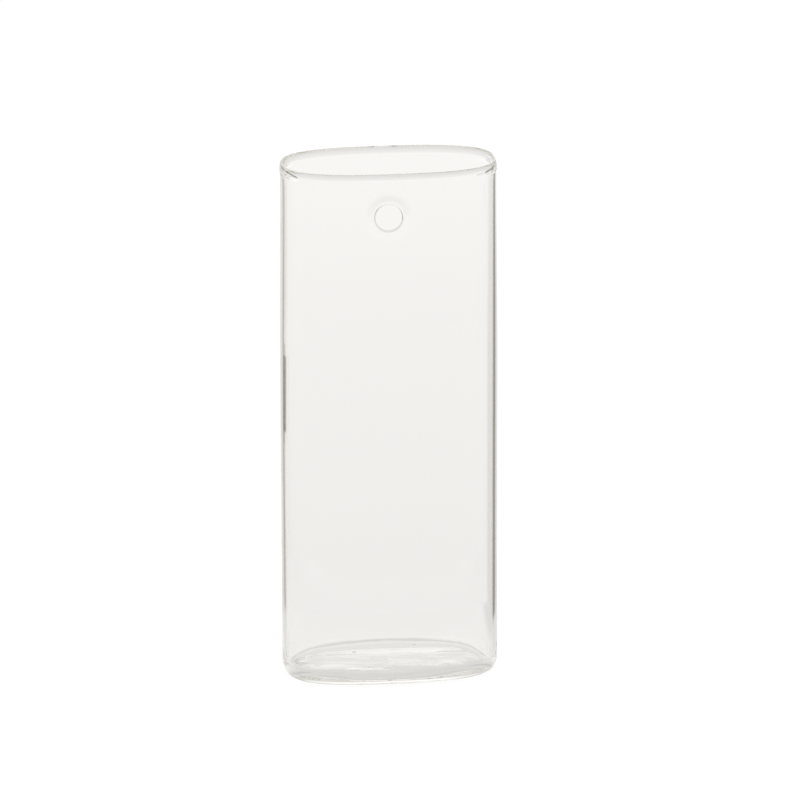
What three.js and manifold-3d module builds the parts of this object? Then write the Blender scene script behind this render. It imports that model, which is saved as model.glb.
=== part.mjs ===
// A wall vase in clear glass: a flattened oval tube with a melted rim, a closed floor, and a melted
// round hole near the top of its back wall. Millimetres, +Z up, the wide side along X, the back wall
// towards +Y, and the origin at the middle of the underside.
import * as THREE from "three";
import { mergeVertices } from "three/addons/utils/BufferGeometryUtils.js";
import Module from "manifold-3d";

// The tube, measured outside, and the exponent of its oval: 2 is an ellipse, more is squarer
const width = 80.5;
const depth = 40.5;
const height = 200;
const squareness = 2.7;

// The wall on the two wide faces and at the two narrow ends, and the heights between which it thins
const wall = 2.2;
const endWall = 1.5;
const thinFrom = 16;
const thinTo = 30;

// The floor at its middle, the rise of its shallow bowl, and the corners below and inside it
const floorThickness = 3.8;
const floorRise = 2.2;
const outerCorner = 5.2;
const innerCorner = 1.2;

// The rim bead: where it is thickest below the top, how far it stands out, and its neck below that
const rimThickness = 2.8;
const rimReach = 3.1;
const rimProud = 0.25;
const rimNeck = 1.6;

// The hanging hole: clear bore, distance below the rim, distance beside the middle, and its lip
const holeDiameter = 10;
const holeDrop = 27.7;
const holeAside = 2.2;
const lipThickness = 2.6;
const lipReach = 1.8;
const lipProud = 0.2;

// Facets round the oval, in each quarter turn of a rounding, across the floor, round the hole and its lip
const sides = 72;
const cornerSteps = 6;
const neckSteps = 3;
const floorSteps = 6;
const holeSides = 36;
const lipSides = 12;

const halfWidth = width / 2;
const halfDepth = depth / 2;
const rimHeight = height - rimReach;
const flatFrom = Math.max(outerCorner, wall + innerCorner);
const flatRadius = halfDepth - flatFrom;

// A number's power with its sign kept
function signedPower(value, power) {
  return Math.sign(value) * Math.abs(value) ** power;
}

// The outward normal of the outer oval at a turn about +Z
function ovalNormal(turn) {
  const power = 2 - 2 / squareness;
  const slopeX = signedPower(Math.cos(turn), power) / halfWidth;
  const slopeY = signedPower(Math.sin(turn), power) / halfDepth;
  return new THREE.Vector2(slopeX, slopeY).normalize();
}

// The point of the outer oval at a turn about +Z, moved inwards by an inset along its normal
function ovalPoint(turn, inset) {
  const x = halfWidth * signedPower(Math.cos(turn), 2 / squareness);
  const y = halfDepth * signedPower(Math.sin(turn), 2 / squareness);
  return new THREE.Vector2(x, y).addScaledVector(ovalNormal(turn), -inset);
}

// The height of the bowl-shaped floor at a distance from the middle, along the shorter half of the oval
function floorHeight(radius) {
  return floorThickness + floorRise * (radius / flatRadius) ** 2;
}

// The section of the glass, from the middle of the underside up, over the rim and down to the floor
function sectionPoints() {
  const points = [new THREE.Vector2(0, 0)];
  const addPoint = (inset, z) => points.push(new THREE.Vector2(halfDepth - inset, z));
  const addArc = (inset, z, across, up, from, to, steps) => {
    for (let i = 0; i <= steps; i++) {
      const angle = THREE.MathUtils.lerp(from, to, i / steps);
      addPoint(inset + across * Math.cos(angle), z + up * Math.sin(angle));
    }
  };
  const swell = (step) => THREE.MathUtils.smoothstep(step / neckSteps, 0, 1);

  addArc(outerCorner, outerCorner, outerCorner, outerCorner, -Math.PI / 2, -Math.PI, cornerSteps);
  addPoint(0, thinFrom);
  addPoint(0, thinTo);
  for (let i = 0; i < neckSteps; i++) {
    addPoint(-rimProud * swell(i), rimHeight - rimNeck * (1 - i / neckSteps));
  }
  const rimMiddle = rimThickness / 2 - rimProud;
  addArc(rimMiddle, rimHeight, rimThickness / 2, rimReach, Math.PI, 0, 3 * cornerSteps);
  for (let i = neckSteps - 1; i >= 0; i--) {
    const inset = THREE.MathUtils.lerp(wall, rimThickness - rimProud, swell(i));
    addPoint(inset, rimHeight - rimNeck * (1 - i / neckSteps));
  }
  addPoint(wall, thinTo);
  addPoint(wall, (thinFrom + thinTo) / 2);
  addPoint(wall, thinFrom);

  // The inner corner ends where its slope is the floor's slope
  const slope = Math.atan((2 * floorRise) / flatRadius);
  const cornerEnd = wall + innerCorner * (1 - Math.sin(slope));
  const cornerHeight = floorHeight(halfDepth - cornerEnd) + innerCorner * Math.cos(slope);
  const lastTurn = 1.5 * Math.PI - slope;
  addArc(wall + innerCorner, cornerHeight, innerCorner, innerCorner, Math.PI, lastTurn, cornerSteps);
  for (let i = floorSteps; i >= 0; i--) {
    const radius = (flatRadius * i) / floorSteps;
    points.push(new THREE.Vector2(radius, floorHeight(radius)));
  }
  return points;
}

// How much thinner the wall is where its normal leans sideways by a share, at a height
function thinning(sideways, z) {
  return (wall - endWall) * sideways ** 2 * THREE.MathUtils.smoothstep(z, thinFrom, thinTo);
}

// A round turning of the section, with every ring of points then moved out onto the oval
function tubeGeometry() {
  const geometry = new THREE.LatheGeometry(sectionPoints(), sides, Math.PI / sides);
  geometry.rotateX(Math.PI / 2);
  const position = geometry.getAttribute("position");
  for (let i = 0; i < position.count; i++) {
    const radius = Math.hypot(position.getX(i), position.getY(i));
    const turn = Math.atan2(position.getY(i), position.getX(i));
    const inset = Math.min(halfDepth - radius, flatFrom);
    const inner = THREE.MathUtils.clamp(inset / wall, 0, 1);
    const thinned = inner * thinning(ovalNormal(turn).x, position.getZ(i));
    const point = ovalPoint(turn, inset - thinned);
    const share = Math.min(radius / flatRadius, 1);
    position.setXY(i, point.x * share, point.y * share);
  }
  return geometry;
}

// Moves a shape made about +Y at the origin to the middle of the wall's thickness at the hole
function placeAtHole(geometry, inset) {
  const wallY = halfDepth * (1 - Math.abs(holeAside / halfWidth) ** squareness) ** (1 / squareness);
  return geometry.translate(holeAside, wallY - inset, height - holeDrop);
}

const lipRingRadius = holeDiameter / 2 + lipReach;

function holeGeometry() {
  const length = 2 * (wall + lipThickness);
  return placeAtHole(new THREE.CylinderGeometry(lipRingRadius, lipRingRadius, length, holeSides), wall / 2);
}

function lipGeometry() {
  const points = [];
  for (let i = 0; i <= lipSides; i++) {
    const angle = (2 * Math.PI * i) / lipSides;
    const x = lipRingRadius + lipReach * Math.cos(angle);
    points.push(new THREE.Vector2(x, (lipThickness / 2) * Math.sin(angle)));
  }
  return placeAtHole(new THREE.LatheGeometry(points, holeSides), lipThickness / 2 - lipProud);
}

const wasm = await Module();
wasm.setup();

// A closed geometry as a solid that can be joined and cut
function solidOf(geometry) {
  geometry.deleteAttribute("normal");
  geometry.deleteAttribute("uv");
  const merged = mergeVertices(geometry, 1e-4);
  const corners = merged.getIndex().array;
  const kept = [];
  for (let i = 0; i < corners.length; i += 3) {
    const [a, b, c] = corners.slice(i, i + 3);
    if (a !== b && b !== c && c !== a) kept.push(a, b, c);
  }
  const vertProperties = merged.getAttribute("position").array;
  return new wasm.Manifold(new wasm.Mesh({ numProp: 3, vertProperties, triVerts: new Uint32Array(kept) }));
}

function geometryOf(solid) {
  const mesh = solid.getMesh();
  const geometry = new THREE.BufferGeometry();
  geometry.setAttribute("position", new THREE.BufferAttribute(mesh.vertProperties, 3));
  geometry.setIndex(new THREE.BufferAttribute(mesh.triVerts, 1));
  geometry.computeVertexNormals();
  return geometry;
}

const glass = new THREE.MeshStandardMaterial({
  color: 0xf4f5f2,
  roughness: 0.03,
  metalness: 0,
  transparent: true,
  opacity: 0.35,
});

function makeGlassBody() {
  const bored = solidOf(tubeGeometry()).subtract(solidOf(holeGeometry()));
  const mesh = new THREE.Mesh(geometryOf(bored.add(solidOf(lipGeometry()))), glass);
  mesh.name = "glass_body";
  return mesh;
}

const vase = new THREE.Group();
vase.add(makeGlassBody());

export default vase;
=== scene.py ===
import math

import bpy
import numpy as np
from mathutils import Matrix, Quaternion, Vector


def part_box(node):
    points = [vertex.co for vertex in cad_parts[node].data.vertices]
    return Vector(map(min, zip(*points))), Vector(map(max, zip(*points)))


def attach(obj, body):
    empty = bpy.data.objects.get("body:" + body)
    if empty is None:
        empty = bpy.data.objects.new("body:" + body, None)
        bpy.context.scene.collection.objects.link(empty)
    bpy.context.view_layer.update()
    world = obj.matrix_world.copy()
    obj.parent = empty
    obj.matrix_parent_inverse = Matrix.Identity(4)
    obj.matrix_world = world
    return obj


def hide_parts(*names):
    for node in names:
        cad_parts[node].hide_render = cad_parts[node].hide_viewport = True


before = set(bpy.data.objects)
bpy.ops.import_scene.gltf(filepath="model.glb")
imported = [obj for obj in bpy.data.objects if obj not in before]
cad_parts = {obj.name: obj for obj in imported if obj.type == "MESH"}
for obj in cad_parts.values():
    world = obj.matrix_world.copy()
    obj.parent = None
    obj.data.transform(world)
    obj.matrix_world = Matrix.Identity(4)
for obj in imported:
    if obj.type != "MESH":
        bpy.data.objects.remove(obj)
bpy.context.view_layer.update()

cadLow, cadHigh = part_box("glass_body")
print("frame loaded, glass body box", cadLow, cadHigh)


# Node trees

class Wire:  # an output socket that takes part in Python expressions
    def __init__(self, maker, socket):
        self.maker, self.socket = maker, socket

    def math(self, operation, *values):
        return self.maker.math(operation, self, *values)

    def __add__(self, other):
        return self.math("ADD", other)

    def __radd__(self, other):
        return self.maker.math("ADD", other, self)

    def __sub__(self, other):
        return self.math("SUBTRACT", other)

    def __rsub__(self, other):
        return self.maker.math("SUBTRACT", other, self)

    def __mul__(self, other):
        return self.math("MULTIPLY", other)

    def __rmul__(self, other):
        return self.maker.math("MULTIPLY", other, self)

    def __truediv__(self, other):
        return self.math("DIVIDE", other)

    def __rtruediv__(self, other):
        return self.maker.math("DIVIDE", other, self)

    def __pow__(self, other):
        return self.math("POWER", other)

    def __neg__(self):
        return self.math("MULTIPLY", -1.0)

    def __abs__(self):
        return self.math("ABSOLUTE")


class TreeMaker:  # makes nodes in one shader, world or geometry tree
    def __init__(self, tree):
        self.tree = tree

    def put(self, socket, value):
        if isinstance(value, Wire):
            self.tree.links.new(value.socket, socket)
        else:
            socket.default_value = value

    def node(self, kind, settings=None, sockets=None, output=0):
        made = self.tree.nodes.new(kind)
        for name, value in (settings or {}).items():
            if name == "stops":
                self.setStops(made.color_ramp, value)
            else:
                setattr(made, name, value)
        for name, value in (sockets or {}).items():
            self.put(made.inputs[name], value)
        return Wire(self, made.outputs[output]) if made.outputs else None

    def setStops(self, ramp, stops):
        while len(ramp.elements) < len(stops):
            ramp.elements.new(1.0)
        for element, (place, colour) in zip(ramp.elements, stops):
            element.position, element.color = place, (*colour, 1.0)

    def math(self, operation, *values):
        return self.node("ShaderNodeMath", {"operation": operation}, dict(enumerate(values)))

    def mix(self, blend, factor, first, second):  # colours
        return self.node(
            "ShaderNodeMix", {"data_type": "RGBA", "blend_type": blend}, {0: factor, 6: first, 7: second}, 2,
        )

    def ramp(self, stops, value, low, high, tint=(1.0, 1.0, 1.0)):
        # each stop is a place between low and high, and the level there
        scaled = [
            ((place - low) / (high - low), tuple(level * share for share in tint)) for place, level in stops
        ]
        share = (value - low) / (high - low)
        return self.node("ShaderNodeValToRGB", {"stops": scaled}, {"Fac": share})

    def awayFrom(self, place, start, end):  # distance of a place from the line between two points
        way = Vector(end) - Vector(start)
        offset = self.node("ShaderNodeVectorMath", {"operation": "SUBTRACT"}, {0: place, 1: start})
        along = self.node("ShaderNodeVectorMath", {"operation": "DOT_PRODUCT"}, {0: offset, 1: way}, 1)
        passed = (along / way.length_squared).math("MAXIMUM", 0.0).math("MINIMUM", 1.0)
        foot = self.node("ShaderNodeVectorMath", {"operation": "SCALE"}, {0: way, "Scale": passed})
        return self.node("ShaderNodeVectorMath", {"operation": "DISTANCE"}, {0: offset, 1: foot}, 1)

    def outputs(self, wire):  # the other outputs of the node that a wire comes from
        return {socket.name: Wire(self, socket) for socket in wire.socket.node.outputs if socket.enabled}


# Camera, at the photograph's viewing angle

camera = {
    "azimuth": -6.3,  # degrees, the left end of the vase is nearer
    "elevation": 18.1,
    "distance": 2.5,  # metres
    "lens": 301.6,  # millimetres on a 36 mm sensor
    "roll": -0.16,  # degrees
    "aimRight": 0.00412,  # metres by which the aim passes beside and above the vase's middle
    "aimUp": 0.00656,
    "sensor": 36.0,
    "clipEnd": 100.0,
}


def makeCamera():
    azimuth, elevation = math.radians(camera["azimuth"]), math.radians(camera["elevation"])
    back = Vector((
        math.sin(azimuth) * math.cos(elevation),
        -math.cos(azimuth) * math.cos(elevation),
        math.sin(elevation),
    ))
    turn = (-back).to_track_quat("-Z", "Y") @ Quaternion((0, 0, 1), math.radians(camera["roll"]))
    aim = Vector((0, 0, cadHigh[2] / 2)) + turn @ Vector((camera["aimRight"], camera["aimUp"], 0))
    data = bpy.data.cameras.new("camera")
    data.lens = camera["lens"]
    data.sensor_width = camera["sensor"]
    data.clip_end = camera["clipEnd"]
    made = bpy.data.objects.new("camera", data)
    made.rotation_mode = "QUATERNION"
    made.rotation_quaternion = turn
    made.location = aim + back * camera["distance"]
    bpy.context.scene.collection.objects.link(made)
    bpy.context.scene.camera = made


makeCamera()
print("camera set")


# Glass body

glassBody = {
    "margin": 0.00028,  # by how much the plain oval stays inside the box, for the proud rim and the flare
    "squareness": 2.7,  # exponent of the oval
    "wall": 0.0022,
    "endWall": 0.0015,  # the wall's thickness at the two narrow ends
    "rightThick": 0.45,  # by how much less it thins at the right end, below the rim
    "leftThin": 0.4,  # by how much more it thins at the left end, low down
    "leftLow": (0.1, 0.15),  # heights over which that ends
    "flare": 0.0063,  # by how much the body is wider and the rim narrower, as a share of the width
    "flareFrom": 0.12,  # the height from which it narrows
    "frontShort": 0.25,  # by how much the rim's bead is shorter and flatter along the front
    "frontFlat": 0.5,
    "endBead": 0.9,  # by how much it is thicker inside at the two narrow ends
    "beadFade": 0.008,  # how far below the top these changes of the bead fade out
    "floorThickness": 0.0038,  # at the middle
    "floorRise": 0.0022,  # how much higher the floor's edge is
    "endLow": 0.004,  # how much lower it is again at the two narrow ends
    "frontLow": 0.0035,  # how much lower it is along the front
    "outerCorner": 0.0052,
    "innerCorner": 0.0024,
    "rimThickness": 0.0028,
    "rimReach": 0.0031,  # how far down from the top the rim is thickest
    "rimProud": 0.00025,
    "rimNeck": 0.0016,
    "holeRadius": 0.005,
    "holeDrop": 0.0277,
    "holeAside": 0.0022,
    "lipThickness": 0.0025,
    "lipReach": 0.0006,
    "lipProud": 0.0002,
    "lipNeck": 0.0033,
    "columns": 224,
    "cornerSteps": 12,
    "undersideRings": 20,
    "floorRings": 24,
    "floorEdgeRings": 4,
    "patchRings": 6,
    "wallStep": 0.0022,
    "holeStep": 0.001,
    "window": 0.012,  # half the side of the patch round the hole
    "waveHeight": 0.00005,  # waves of the wall
    "waveSize": 0.03,
    "rippleHeight": 0.0004,  # ripples of the floor
    "rippleSize": 0.012,
    "dent": 0.0003,  # the hollow of the underside
    "seed": 4.0,
}
height = cadHigh[2]
halfWidth = (cadHigh[0] - cadLow[0]) / 2 - glassBody["margin"]
halfDepth = (cadHigh[1] - cadLow[1]) / 2 - glassBody["margin"]


def beadEnd(thickness, reach, proud, neck, wall, neckSteps=8, arcSteps=24):
    # pairs (distance from the bead's end, inset) from the outer face round the bead to the inner face
    middle = thickness / 2 - proud
    outer, inner = [], []
    for step in range(neckSteps):
        share = step / neckSteps
        swell = share * share * (3 - 2 * share)
        along = reach + neck * (1 - share)
        outer.append((along, -proud * swell))
        inner.append((along, wall + (thickness - proud - wall) * swell))
    arc = [
        (reach - reach * math.sin(angle), middle - thickness / 2 * math.cos(angle))
        for angle in np.linspace(0, math.pi, arcSteps + 1)
    ]
    return outer + arc + inner[::-1]


def evenTurns(count, exponent):  # turns about the axis that space points evenly along the oval
    fine = np.linspace(0, 2 * math.pi, 200001)
    power = 2 / exponent
    x = halfWidth * np.sign(np.cos(fine)) * np.abs(np.cos(fine)) ** power
    y = halfDepth * np.sign(np.sin(fine)) * np.abs(np.sin(fine)) ** power
    length = np.concatenate([[0], np.cumsum(np.hypot(np.diff(x), np.diff(y)))])
    return np.interp(np.arange(count) / count * length[-1], length, fine)


def turnAt(x, exponent):  # the turn of the point of the back wall at a distance beside the middle
    return math.acos(math.copysign((abs(x) / halfWidth) ** (exponent / 2), x))


def wallHeights(low, high, size):  # heights of the rows of the straight wall, closer by the hole
    holeHeight = height - size["holeDrop"]
    steps = [
        (low, holeHeight - size["window"], size["wallStep"]),
        (holeHeight - size["window"], holeHeight + size["window"], size["holeStep"]),
        (holeHeight + size["window"], high, size["wallStep"]),
    ]
    heights = []
    for start, stop, step in steps:
        heights += list(np.linspace(start, stop, max(1, round((stop - start) / step)) + 1)[:-1])
    return heights


def makePattern(size):
    # the body laid out flat: x is the turn, y the inset, z the height, bent to the oval by the nodes below
    wall = size["wall"]
    flatFrom = max(size["outerCorner"], wall + size["innerCorner"])
    rimNeckFoot = height - size["rimReach"] - size["rimNeck"]
    rows = []  # inset, height, share of the way out from the axis, ripple, dent, inner

    def quarter(inset, z, radius, start, end, ripples, inner):
        steps = size["cornerSteps"]
        for step, angle in enumerate(np.linspace(start, end, steps + 1)):
            across, up = radius * math.cos(angle), radius * math.sin(angle)
            rows.append((inset + across, z + up, 1, ripples(step / steps), 0, inner))

    for share in np.linspace(0, 1, size["undersideRings"] + 1)[1:-1]:
        rows.append((flatFrom, 0, share, 0, 1 - share ** 4, 0))
    corner = size["outerCorner"]
    quarter(corner, corner, corner, -math.pi / 2, -math.pi, lambda s: 0, 0)
    outerHeights = wallHeights(corner, rimNeckFoot, size)[1:]
    outerStart = len(rows)
    rows += [(0, z, 1, 0, 0, 0) for z in outerHeights]
    rim = beadEnd(size["rimThickness"], size["rimReach"], size["rimProud"], size["rimNeck"], wall)
    rows += [(inset, height - along, 1, 0, 0, min(1, max(0, inset / wall))) for along, inset in rim]
    flatRadius = halfDepth - flatFrom
    slope = math.atan(2 * size["floorRise"] / flatRadius)
    corner = size["innerCorner"]
    cornerEnd = wall + corner * (1 - math.sin(slope))

    def floorHeight(inset):  # the floor is a shallow bowl
        return size["floorThickness"] + size["floorRise"] * ((halfDepth - inset) / flatRadius) ** 2

    cornerMiddle = floorHeight(cornerEnd) + corner * math.cos(slope)
    innerHeights = wallHeights(cornerMiddle, rimNeckFoot, size)[1:]
    innerStart = len(rows)
    rows += [(wall, z, 1, 0, 0, 1) for z in innerHeights[::-1]]
    quarter(wall + corner, cornerMiddle, corner, math.pi, 1.5 * math.pi - slope, lambda s: s, 1)
    for inset in np.linspace(cornerEnd, flatFrom, size["floorEdgeRings"] + 1)[1:]:
        rows.append((inset, floorHeight(inset), 1, 1, 0, 1))
    for share in np.linspace(1, 0, size["floorRings"] + 1)[1:-1]:
        rows.append((flatFrom, size["floorThickness"] + size["floorRise"] * share * share, share, 1, 0, 1))

    turns = evenTurns(size["columns"], size["squareness"])
    columns = len(turns)
    points = [(turn, *row) for row in rows for turn in turns]
    faces = []

    # the square window in the back wall that the hole's patch fills
    holeX, holeZ = size["holeAside"], height - size["holeDrop"]
    backX = halfWidth * np.sign(np.cos(turns)) * np.abs(np.cos(turns)) ** (2 / size["squareness"])
    inWindow = [
        c for c in range(columns)
        if math.sin(turns[c]) > 0 and abs(backX[c] - holeX) <= size["window"]
    ]
    firstColumn, lastColumn = inWindow[0], inWindow[-1]

    def windowRows(heights, start, step):
        low = min(range(len(heights)), key=lambda i: abs(heights[i] - holeZ + size["window"]))
        high = min(range(len(heights)), key=lambda i: abs(heights[i] - holeZ - size["window"]))
        return [start + step * i for i in range(low, high + 1)]

    outerRows = windowRows(outerHeights, outerStart, 1)
    innerRows = windowRows(innerHeights, innerStart + len(innerHeights) - 1, -1)
    windows = [(min(outerRows), max(outerRows)), (min(innerRows), max(innerRows))]

    def cut(row, column):
        return firstColumn <= column < lastColumn and any(low <= row < high for low, high in windows)

    for row in range(len(rows) - 1):
        for column in range(columns):
            if not cut(row, column):
                after = (column + 1) % columns
                faces.append((
                    row * columns + column, row * columns + after,
                    (row + 1) * columns + after, (row + 1) * columns + column,
                ))

    # the middles of the underside and of the floor
    for pole, ring in ((0, 0), (size["floorThickness"], len(rows) - 1)):
        middle = len(points)
        points.append((0, flatFrom, pole, 0, 1 if pole else 0, 0 if pole else 1, 0))
        for column in range(columns):
            edge = [ring * columns + column, ring * columns + (column + 1) % columns]
            faces.append((middle, *(edge if pole else edge[::-1])))

    # the patch: spokes from the window's edge to the lip, round it and out again on the inner face
    def edgeOf(rowsUp):
        across = list(range(firstColumn, lastColumn + 1))
        loop = [(rowsUp[0], c) for c in across[:-1]]
        loop += [(r, across[-1]) for r in rowsUp[:-1]]
        loop += [(rowsUp[-1], c) for c in across[:0:-1]]
        loop += [(r, across[0]) for r in rowsUp[:0:-1]]
        return loop

    outerEdge, innerEdge = edgeOf(outerRows), edgeOf(innerRows)
    lip = beadEnd(
        size["lipThickness"], size["lipReach"], size["lipProud"], size["lipNeck"], wall,
        neckSteps=6, arcSteps=20,
    )
    lipStart = size["holeRadius"] + size["lipReach"] + size["lipNeck"]
    spread = size["patchRings"]
    rings = [[r * columns + c for r, c in outerEdge]]
    offsets = [(backX[c] - holeX, points[r * columns + c][2] - holeZ) for r, c in outerEdge]

    def ring(inset, reach):  # reach gives each spoke's distance from the hole's middle
        made = []
        for across, up in offsets:
            far = math.hypot(across, up)
            x, z = holeX + across / far * reach(far), holeZ + up / far * reach(far)
            made.append(len(points))
            points.append((turnAt(x, size["squareness"]), inset, z, 1, 0, 0, min(1, max(0, inset / wall))))
        return made

    for step in range(1, spread):
        rings.append(ring(0, lambda far: far + (lipStart - far) * step / spread))
    for along, inset in lip:
        rings.append(ring(inset, lambda far: size["holeRadius"] + along))
    for step in range(spread - 1, 0, -1):
        rings.append(ring(wall, lambda far: far + (lipStart - far) * step / spread))
    rings.append([r * columns + c for r, c in innerEdge])
    for here, after in zip(rings, rings[1:]):
        for i in range(len(here)):
            j = (i + 1) % len(here)
            faces.append((here[i], here[j], after[j], after[i]))

    mesh = bpy.data.meshes.new("glass_body_pattern")
    mesh.from_pydata([point[:3] for point in points], [], faces)
    for name, place in (("share", 3), ("ripple", 4), ("dent", 5), ("inner", 6)):
        layer = mesh.attributes.new(name, "FLOAT", "POINT")
        layer.data.foreach_set("value", [point[place] for point in points])
    mesh.update()
    return mesh


folds = {  # short grooves below the rim at the two ends, each from point to point
    "places": [
        ((-0.0397, -0.0028, 0.19925), (-0.0378, -0.0096, 0.1990)),
        ((-0.0378, -0.0096, 0.1990), (-0.0351, -0.0130, 0.1981)),
        ((0.0312, -0.0156, 0.1976), (0.0345, -0.0136, 0.1978)),
        ((0.0345, -0.0136, 0.1978), (0.0382, -0.0089, 0.1988)),
    ],
    "depth": 0.0003,
    "reach": 0.0004,
}


def bendTree():  # bends the flat pattern round the oval, with the waves of hand-worked glass
    tree = bpy.data.node_groups.new("oval_bend", "GeometryNodeTree")
    tree.interface.new_socket("Geometry", in_out="INPUT", socket_type="NodeSocketGeometry")
    tree.interface.new_socket("Geometry", in_out="OUTPUT", socket_type="NodeSocketGeometry")
    names = (
        "Half width", "Half depth", "Squareness", "Wall", "End wall", "Right thick", "Left thin",
        "Left low", "Left high", "Wave height", "Wave size", "Height",
        "Flare", "Flare from", "Front short", "Front flat", "End bead", "Bead fade",
        "Ripple height", "Ripple size", "Dent", "End low", "Front low", "Seed",
    )
    for name in names:
        tree.interface.new_socket(name, in_out="INPUT", socket_type="NodeSocketFloat")
    tree.interface.new_socket("Material", in_out="INPUT", socket_type="NodeSocketMaterial")
    maker = TreeMaker(tree)
    given = maker.outputs(maker.node("NodeGroupInput"))
    position = maker.node("GeometryNodeInputPosition")
    parts = maker.outputs(maker.node("ShaderNodeSeparateXYZ", sockets={0: position}))
    turn, inset, up = parts["X"], parts["Y"], parts["Z"]

    def attribute(name):
        return maker.node("GeometryNodeInputNamedAttribute", {"data_type": "FLOAT"}, {"Name": name})

    # the place on the oval, and the slope of the oval there
    cosine, sine = turn.math("COSINE"), turn.math("SINE")
    power = 2.0 / given["Squareness"]
    alongX = cosine.math("SIGN") * abs(cosine) ** power
    alongY = sine.math("SIGN") * abs(sine) ** power
    slopeX = cosine.math("SIGN") * abs(alongX) ** (given["Squareness"] - 1.0) / given["Half width"]
    slopeY = sine.math("SIGN") * abs(alongY) ** (given["Squareness"] - 1.0) / given["Half depth"]
    slope = (slopeX * slopeX + slopeY * slopeY).math("SQRT")
    baseX, baseY = alongX * given["Half width"], alongY * given["Half depth"]
    sideways = slopeX / slope

    # waves that run up the wall and differ between its two faces
    depthInWall = inset / given["Wall"]
    wavePlace = maker.node("ShaderNodeCombineXYZ", sockets={0: baseX, 1: baseY, 2: up * 0.35})
    waves = maker.node(
        "ShaderNodeTexNoise", {"noise_dimensions": "4D"},
        {
            "Vector": wavePlace, "W": given["Seed"] + depthInWall * 0.6, "Scale": 1.0 / given["Wave size"],
            "Detail": 1.0, "Roughness": 0.45,
        },
    ) - 0.5

    # the wall's thickness: less at the two narrow ends, uneven between them
    narrowed = maker.node(
        "ShaderNodeMapRange", {"interpolation_type": "SMOOTHSTEP"},
        {"Value": up, "From Min": given["Flare from"], "From Max": given["Height"]},
    )
    lowered = maker.node(
        "ShaderNodeMapRange", {"interpolation_type": "SMOOTHSTEP"},
        {"Value": up, "From Min": given["Left high"], "From Max": given["Left low"]},
    )
    rightThick = alongX.math("MAXIMUM", 0.0) * given["Right thick"] * (1.0 - narrowed)
    leftThin = alongX.math("MINIMUM", 0.0) * given["Left thin"] * lowered
    thinner = (given["Wall"] - given["End wall"]) * (1.0 - rightThick - leftThin)
    thinned = attribute("inner") * thinner * sideways * sideways

    # the bead's thickness beyond the wall: less along the front, more inside at the ends
    inWall = inset.math("MAXIMUM", 0.0).math("MINIMUM", given["Wall"])
    front = (sine * -1.5).math("MAXIMUM", 0.0).math("MINIMUM", 1.0)
    below = (given["Height"] - up).math("MAXIMUM", 0.0)
    near = (-(below * below) / (given["Bead fade"] * given["Bead fade"])).math("EXPONENT")
    beadShare = 1.0 - front * given["Front flat"] + attribute("inner") * given["End bead"] * sideways ** 4.0
    bead = (inset - inWall) * (near * (beadShare - 1.0) + 1.0)
    pushed = inWall + bead - thinned + waves * given["Wave height"]

    # the place across, and the ripples of the floor
    share, ripple = attribute("share"), attribute("ripple")
    wider = 1.0 + given["Flare"] * (1.0 - narrowed * 2.0)
    x = (baseX * wider - slopeX / slope * pushed) * share
    y = (baseY - slopeY / slope * pushed) * share
    floorPlace = maker.node("ShaderNodeCombineXYZ", sockets={0: x, 1: y * 1.6, 2: 0.0})
    floorNoise = maker.node(
        "ShaderNodeTexNoise", {"noise_dimensions": "4D"},
        {
            "Vector": floorPlace, "W": given["Seed"] + 7.0, "Scale": 1.0 / given["Ripple size"],
            "Detail": 2.0, "Roughness": 0.4, "Distortion": 0.6,
        },
    )

    # the height: the bead shorter along the front, the floor lower along the front and at the ends
    shortened = below * near * front * given["Front short"] * share
    forward = (-(alongY * share)).math("MAXIMUM", 0.0)
    lower = abs(alongX * share) ** 8.0 * given["End low"] + forward * forward * given["Front low"]
    ripples = (floorNoise - 0.5) * 2.0 * ripple * given["Ripple height"]
    z = up + shortened - lower * ripple + ripples + attribute("dent") * given["Dent"]
    place = maker.node("ShaderNodeCombineXYZ", sockets={0: x, 1: y, 2: z})
    bent = maker.node("GeometryNodeSetPosition", sockets={"Geometry": given["Geometry"], "Position": place})

    # the folds pressed in below the rim
    nearest = 1.0
    for start, end in folds["places"]:
        nearest = maker.awayFrom(position, start, end).math("MINIMUM", nearest)
    spread = nearest / folds["reach"]
    inwards = (-(spread * spread)).math("EXPONENT") * -folds["depth"]
    normal = maker.node("GeometryNodeInputNormal")
    push = maker.node("ShaderNodeVectorMath", {"operation": "SCALE"}, {0: normal, "Scale": inwards})
    bent = maker.node("GeometryNodeSetPosition", sockets={"Geometry": bent, "Offset": push})
    smooth = maker.node("GeometryNodeSetShadeSmooth", sockets={"Geometry": bent, "Shade Smooth": True})
    whole = maker.node("GeometryNodeRealizeInstances", sockets={"Geometry": smooth})
    made = maker.node("GeometryNodeSetMaterial", sockets={"Geometry": whole, "Material": given["Material"]})
    maker.node("NodeGroupOutput", sockets={"Geometry": made})
    return tree


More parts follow.
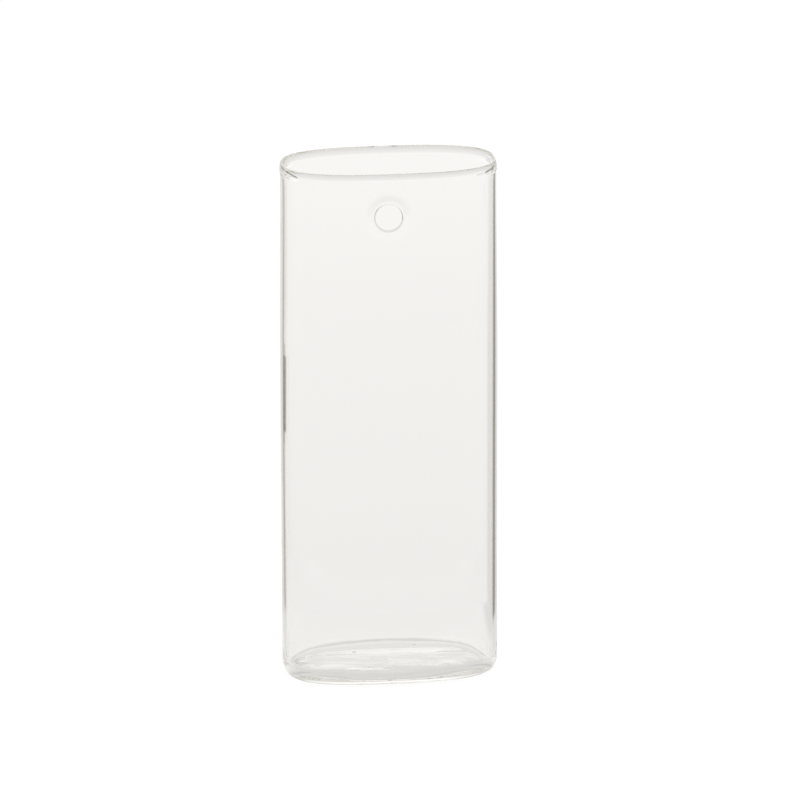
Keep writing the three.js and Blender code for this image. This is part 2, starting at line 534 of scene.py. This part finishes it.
glassLook = {
    "refraction": 1.47,
    "bodyTint": (0.9, 0.89, 0.85, 1.0),
    "bodyDensity": 3.0,
    "drawnScale": 160.0,  # the fine lines that drawing the tube out has left along the height
    "drawnStretch": 0.12,
    "drawnStrength": 0.02,
    "drawnDepth": 0.0004,
}
# painted shade: colours of dark streaks that stand in for dark refractions in the thick glass
paintedDarkStreak, foldPaintedShade, foldPaintedShadePale = (0.17, 0.14, 0.11), (0.15, 0.13, 0.11), (0.3, 0.27, 0.24)
paintedDarkStreakPale, seedGrey = (0.6, 0.56, 0.52), (0.5, 0.47, 0.42)
paintedStreaksAndSeeds = [  # darker lines and dots in the glass: the lines are painted shade for dark refractions, the dots are seeds; from and to, radius, fade, colour
    ((-0.03954, -0.00707, 0.132), (-0.03977, -0.00634, 0.094), 0.0002, 0.0010, paintedDarkStreakPale),
    ((-0.03957, -0.00698, 0.127), (-0.03975, -0.00642, 0.099), 0.0007, 0.0009, paintedDarkStreak),
    # painted shade along the folds, for the dark refractions where the rim passes the curved ends
    (*folds["places"][0], 0.00015, 0.0003, foldPaintedShade),
    (*folds["places"][1], 0.00015, 0.0003, foldPaintedShade),
    (*folds["places"][2], 0.00005, 0.0003, foldPaintedShadePale),
    (*folds["places"][3], 0.0002, 0.0003, foldPaintedShade),
    ((-0.0129, 0.0083, 0.0047), (-0.0123, 0.0083, 0.0047), 0.0004, 0.0002, seedGrey),
    ((0.0103, 0.0120, 0.0052), (0.0108, 0.0120, 0.0052), 0.0002, 0.0002, seedGrey),
    ((-0.0273, 0.0060, 0.0052), (-0.0267, 0.0060, 0.0052), 0.0002, 0.0002, seedGrey),
]


def glassMaterial():
    material = bpy.data.materials.new("clear_borosilicate_glass")
    material.use_nodes = True
    material.node_tree.nodes.clear()
    maker = TreeMaker(material.node_tree)
    place = maker.outputs(maker.node("ShaderNodeTexCoord"))["Object"]
    stretch = (1.0, 1.0, glassLook["drawnStretch"])
    drawn = maker.node("ShaderNodeMapping", sockets={"Vector": place, "Scale": stretch})
    lines = maker.node(
        "ShaderNodeTexNoise", sockets={"Vector": drawn, "Scale": glassLook["drawnScale"], "Detail": 2.0},
    )
    relief = maker.node("ShaderNodeBump", sockets={
        "Strength": glassLook["drawnStrength"], "Distance": glassLook["drawnDepth"], "Height": lines,
    })
    tint = (1.0, 1.0, 1.0, 1.0)
    # painted shade: the dark streaks that stand in for dark refractions, and the grey seeds, mixed into the
    # glass's base colour
    for start, end, radius, fade, colour in paintedStreaksAndSeeds:
        dark = (radius - maker.awayFrom(place, start, end)) / fade + 1.0
        dark = dark.math("MAXIMUM", 0.0).math("MINIMUM", 1.0)
        tint = maker.mix("MIX", dark, tint, (*colour, 1.0))
    glass = maker.node("ShaderNodeBsdfPrincipled", sockets={
        "Base Color": tint, "Roughness": 0.0, "IOR": glassLook["refraction"],
        "Transmission Weight": 1.0, "Normal": relief,
    })
    body = maker.node("ShaderNodeVolumeAbsorption", sockets={
        "Color": glassLook["bodyTint"], "Density": glassLook["bodyDensity"],
    })
    maker.node("ShaderNodeOutputMaterial", sockets={"Surface": glass, "Volume": body})
    return material


def makeGlassBody():
    pattern = bpy.data.objects.new("glass_body_pattern", makePattern(glassBody))
    bpy.context.scene.collection.objects.link(pattern)
    modifier = pattern.modifiers.new("oval bend", "NODES")
    modifier.node_group = bendTree()
    values = {
        "Half width": halfWidth,
        "Half depth": halfDepth,
        "Squareness": glassBody["squareness"],
        "Wall": glassBody["wall"],
        "End wall": glassBody["endWall"],
        "Right thick": glassBody["rightThick"],
        "Left thin": glassBody["leftThin"],
        "Left low": glassBody["leftLow"][0],
        "Left high": glassBody["leftLow"][1],
        "Height": height,
        "Flare": glassBody["flare"],
        "Flare from": glassBody["flareFrom"],
        "Front short": glassBody["frontShort"],
        "Front flat": glassBody["frontFlat"],
        "End bead": glassBody["endBead"],
        "Bead fade": glassBody["beadFade"],
        "Wave height": glassBody["waveHeight"],
        "Wave size": glassBody["waveSize"],
        "Ripple height": glassBody["rippleHeight"],
        "Ripple size": glassBody["rippleSize"],
        "Dent": glassBody["dent"],
        "End low": glassBody["endLow"],
        "Front low": glassBody["frontLow"],
        "Seed": glassBody["seed"],
        "Material": glassMaterial(),
    }
    for item in modifier.node_group.interface.items_tree:
        if item.in_out == "INPUT" and item.name in values:
            modifier[item.identifier] = values[item.name]
    bpy.context.view_layer.update()
    evaluated = pattern.evaluated_get(bpy.context.evaluated_depsgraph_get())
    mesh = bpy.data.meshes.new_from_object(evaluated)
    mesh.name = "glass_body_visual"
    pattern.modifiers.remove(modifier)
    bpy.data.objects.remove(pattern)
    for name in ("share", "ripple", "dent", "inner"):
        if name in mesh.attributes:
            mesh.attributes.remove(mesh.attributes[name])
    made = bpy.data.objects.new("glass_body_visual", mesh)
    bpy.context.scene.collection.objects.link(made)
    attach(made, "root")
    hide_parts("glass_body")
    print("glass body made,", len(mesh.polygons), "faces")


makeGlassBody()


# Studio

studio = {
    "floorSize": 6.0,  # metres
    "floorColour": (0.9, 0.9, 0.89, 1.0),
    "seenWhite": 1.0,  # what the camera sees of the world
    "floorWhite": 1.06,
    "shadowShare": 0.1,  # how much of the floor's own shading the camera sees
    "sheet": (0.076, 0.064),  # half the width and depth of the sheet under the vase, seen only through the glass, with the vase's shadow and caustics painted on it
    "sheetEdge": 0.008,
    # painted shadow and caustic light on that sheet: its brightness by the distance inwards from an oval,
    # from front to back, and to the sides
    "ringOval": (0.039, 0.0224, 2.3),  # its half width, half depth and squareness
    "ringReach": (-0.01, 0.02),
    "shadeReach": (-0.05, 0.05),
    "sideReach": (0.0, 0.1),
    "paintedShadowRings": [
        (-0.0020, 1.0), (-0.0012, 0.93), (-0.0006, 0.8), (0.0, 0.74), (0.0005, 0.79), (0.0010, 0.92),
        (0.0017, 0.95), (0.0025, 0.87), (0.0034, 0.85), (0.0044, 0.87), (0.0082, 0.88), (0.0107, 0.86),
        (0.0132, 0.88),
    ],
    "paintedShadeByDepth": [
        (-0.045, 0.88), (-0.03, 0.79), (-0.018, 0.75), (-0.014, 0.76), (-0.008, 0.78), (-0.003, 0.83),
        (0.001, 0.92), (0.021, 0.9), (0.028, 0.885), (0.049, 0.88),
    ],
    "paintedShadeBySide": [(0.046, 1.0), (0.052, 0.82)],
    "sheetTint": (1.0, 0.986, 0.945),
    "tintEdge": (-0.004, -0.001),  # distance inwards over which the room's tint turns into the sheet's
    # brightness of the room by the rise of the direction, as it shows through the glass
    "upward": [
        (-1.0, 0.72), (-0.8, 0.74), (-0.62, 0.77), (-0.45, 0.82), (-0.36, 0.87), (-0.335, 0.875),
        (-0.324, 0.895), (-0.31, 0.905), (-0.296, 0.92), (-0.282, 0.95), (-0.2, 0.96), (-0.12, 0.95),
        (0.03, 0.95), (0.12, 1.06), (0.2, 1.1), (0.29, 1.1), (0.35, 0.74), (0.45, 0.71), (0.62, 0.73),
        (0.75, 0.87), (1.0, 1.0),
    ],
    "roomTint": (1.0, 0.991, 0.97),
    # how dark the room's sides are, by degrees round from straight behind the vase
    "sides": [
        (-180, 0.2), (-75, 0.1), (-50, 0.05), (-41, 0.2), (-35, 0.56), (-28, 0.54), (-24, 0.46), (-20, 0.3),
        (-12, 0.29), (-8, 0.15), (-4, 0.02), (-2, 0.0), (13, 0.0), (16, 0.03), (18, 0.1), (22, 0.14),
        (26, 0.18), (30, 0.25), (34, 0.36), (38, 0.52), (42, 0.72), (48, 0.72), (60, 0.5), (110, 0.2),
        (180, 0.2),
    ],
    "sidesTint": (1.0, 1.03, 1.09),
    "sidesRise": [  # and how much of that is left by the rise of the direction
        (-0.7, 0.0), (-0.5, 0.15), (-0.4, 0.25), (-0.36, 1.0), (-0.3, 1.0), (-0.27, 0.85), (0.1, 0.85),
        (0.35, 0.3),
    ],
    "sidesFoot": (-0.3425, -0.3385),  # rise of the direction over which the darkest parts of the sides end
    "sidesLow": 0.27,  # how dark the sides are at most below that
    "bounces": 256,
}


def makeFloor():
    mesh = bpy.data.meshes.new("floor")
    half = studio["floorSize"] / 2
    corners = [(-half, -half, 0), (half, -half, 0), (half, half, 0), (-half, half, 0)]
    mesh.from_pydata(corners, [], [(0, 1, 2, 3)])
    made = bpy.data.objects.new("floor", mesh)
    bpy.context.scene.collection.objects.link(made)
    material = bpy.data.materials.new("pale_floor")
    material.use_nodes = True
    material.node_tree.nodes.clear()
    maker = TreeMaker(material.node_tree)
    rays = maker.outputs(maker.node("ShaderNodeLightPath"))
    place = maker.outputs(maker.node("ShaderNodeTexCoord"))["Object"]
    parts = maker.outputs(maker.node("ShaderNodeSeparateXYZ", sockets={0: place}))
    paper = maker.node(
        "ShaderNodeBsdfPrincipled", sockets={"Base Color": studio["floorColour"], "Roughness": 0.9},
    )
    white = maker.node("ShaderNodeEmission", sockets={"Strength": studio["floorWhite"]})
    seen = maker.node("ShaderNodeMixShader", sockets={0: studio["shadowShare"], 1: white, 2: paper})

    # the sheet under the vase, which only rays through the glass and reflected rays see: an emission with
    # the vase's shadow and caustic rings painted in, clear beyond its edge
    beyondX = (abs(parts["X"]) - studio["sheet"][0]) / studio["sheetEdge"]
    beyondY = (abs(parts["Y"]) - studio["sheet"][1]) / studio["sheetEdge"]
    beyond = beyondX.math("MAXIMUM", beyondY).math("MAXIMUM", 0.0).math("MINIMUM", 1.0)
    ovalWidth, ovalDepth, power = studio["ringOval"]
    across, along = abs(parts["X"]) / ovalWidth, abs(parts["Y"]) / ovalDepth
    spread = (across ** power + along ** power) ** (1 / power)
    slopeX = (across / spread) ** (power - 1) / ovalWidth
    slopeY = (along / spread) ** (power - 1) / ovalDepth
    inwards = (1.0 - spread) / (slopeX * slopeX + slopeY * slopeY).math("SQRT")
    # painted shadow and caustic rings round the foot, and painted shade from front to back and to the sides
    rings = maker.ramp(studio["paintedShadowRings"], inwards, *studio["ringReach"])
    shades = maker.ramp(studio["paintedShadeByDepth"], parts["Y"], *studio["shadeReach"])
    sides = maker.ramp(studio["paintedShadeBySide"], abs(parts["X"]), *studio["sideReach"])
    low, high = studio["tintEdge"]
    inner = maker.node("ShaderNodeMapRange", sockets={"Value": inwards, "From Min": low, "From Max": high})
    tint = maker.mix("MIX", inner, (*studio["roomTint"], 1.0), (*studio["sheetTint"], 1.0))
    under = maker.mix("MULTIPLY", 1.0, rings * shades * sides, tint)
    sheet = maker.node("ShaderNodeEmission", sockets={"Color": under, "Strength": 1.0})
    clear = maker.node("ShaderNodeBsdfTransparent")
    behindGlass = maker.node("ShaderNodeMixShader", sockets={0: beyond, 1: sheet, 2: clear})
    through = rays["Is Transmission Ray"].math("MAXIMUM", rays["Is Glossy Ray"])
    lit = maker.node("ShaderNodeMixShader", sockets={0: through, 1: paper, 2: behindGlass})
    shown = maker.node("ShaderNodeMixShader", sockets={0: rays["Is Camera Ray"], 1: lit, 2: seen})
    maker.node("ShaderNodeOutputMaterial", sockets={"Surface": shown})
    mesh.materials.append(material)


def makeWorld():
    world = bpy.data.worlds.new("studio")
    bpy.context.scene.world = world
    world.use_nodes = True
    world.node_tree.nodes.clear()
    maker = TreeMaker(world.node_tree)
    rays = maker.outputs(maker.node("ShaderNodeLightPath"))
    away = maker.outputs(maker.node("ShaderNodeTexCoord"))["Generated"]
    heading = maker.outputs(maker.node("ShaderNodeSeparateXYZ", sockets={0: away}))
    turn = heading["X"].math("ARCTAN2", heading["Y"]) * (180 / math.pi)
    room = maker.ramp(studio["upward"], heading["Z"], -1.0, 1.0, studio["roomTint"])
    sides = maker.ramp(studio["sides"], turn, -180, 180)
    sides = sides * maker.ramp(studio["sidesRise"], heading["Z"], -1.0, 1.0)
    low, high = studio["sidesFoot"]
    most = maker.node(
        "ShaderNodeMapRange", {"interpolation_type": "SMOOTHSTEP"},
        {"Value": heading["Z"], "From Min": low, "From Max": high, "To Min": studio["sidesLow"]},
    )
    sides = sides.math("MINIMUM", most)
    left = [1.0 - sides * share for share in studio["sidesTint"]]
    left = maker.node("ShaderNodeCombineColor", sockets=dict(enumerate(left)))
    dimmed = maker.mix("MULTIPLY", 1.0, room, left)
    white = (studio["seenWhite"],) * 3 + (1.0,)
    colour = maker.mix("MIX", rays["Is Camera Ray"], dimmed, white)
    light = maker.node("ShaderNodeBackground", sockets={"Color": colour, "Strength": 1.0})
    maker.node("ShaderNodeOutputWorld", sockets={"Surface": light})


makeFloor()
makeWorld()
bpy.context.scene.view_settings.view_transform = "Standard"
cycles = bpy.context.scene.cycles
cycles.max_bounces = studio["bounces"]
cycles.transmission_bounces = studio["bounces"]
cycles.glossy_bounces = studio["bounces"]
print("studio set")
